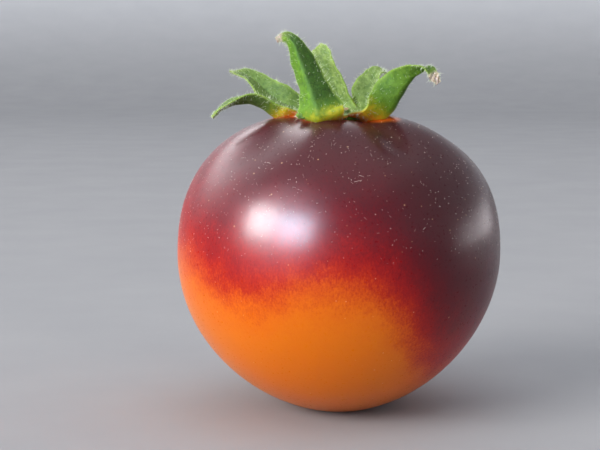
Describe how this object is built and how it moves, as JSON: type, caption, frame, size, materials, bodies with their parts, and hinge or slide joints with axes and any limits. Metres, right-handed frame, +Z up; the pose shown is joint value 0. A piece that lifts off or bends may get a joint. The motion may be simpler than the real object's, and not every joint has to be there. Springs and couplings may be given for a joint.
{
  "type": "cherry tomato",
  "caption": "Round cherry tomato with a flattened stem end, a small flat foot and a calyx of upright, curling sepals.",
  "frame": {"origin": "on the surface that the fruit rests on, straight under the axis of the fruit", "axes": "+Z up along the fruit's axis from the blossom end to the calyx; +X to the right and -Y towards the viewer of the tallest sepal's outer face"},
  "size_m": [0.034, 0.034, 0.0399],
  "materials": {
    "fruit_skin": "glossy waxy tomato skin, dark purple at the stem end and orange at the blossom end",
    "calyx_green": "hairy matt green leaf",
    "stub_green": "dull green stalk with a dry end"
  },
  "bodies": {
    "root": {"fruit": "fruit_skin", "calyx_disc": "calyx_green", "stem_stub": "stub_green", "sepal_front": "calyx_green", "sepal_right": "calyx_green", "sepal_back_right": "calyx_green", "sepal_back": "calyx_green", "sepal_back_left": "calyx_green", "sepal_left": "calyx_green"}
  },
  "joints": []
}
